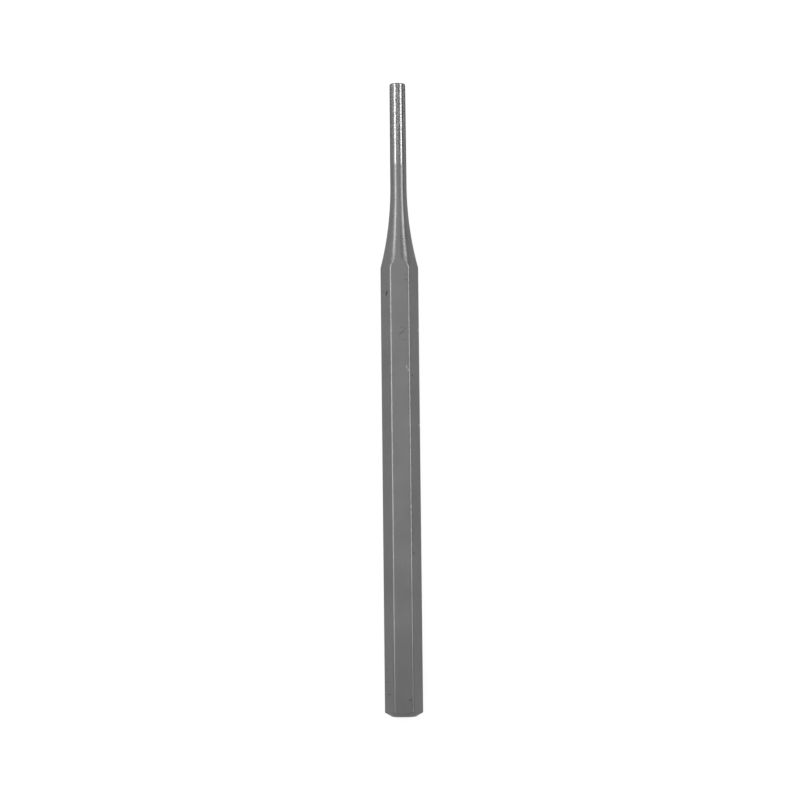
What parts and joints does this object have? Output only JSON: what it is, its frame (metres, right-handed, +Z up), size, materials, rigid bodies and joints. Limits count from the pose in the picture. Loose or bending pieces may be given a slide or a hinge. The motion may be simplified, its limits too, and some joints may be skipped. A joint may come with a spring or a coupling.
{
  "type": "pin punch",
  "caption": "Pin punch with a hexagonal coated shank that narrows through a hollow neck to a thin, straight, bare round pin.",
  "frame": {"origin": "under the middle of the punch's length, on the surface that it rests on, midway between its sides", "axes": "+X along the tool's axis, from the struck face to the end of the pin; +Z up, square to the flat that it lies on; +Y across the shank"},
  "size_m": [0.15, 0.009, 0.008],
  "materials": {
    "bare_steel": "ground",
    "grey_coat": "satin"
  },
  "bodies": {
    "root": {"steel_shank": "bare_steel", "steel_pin": "bare_steel", "grey_coat": "grey_coat"}
  },
  "joints": []
}
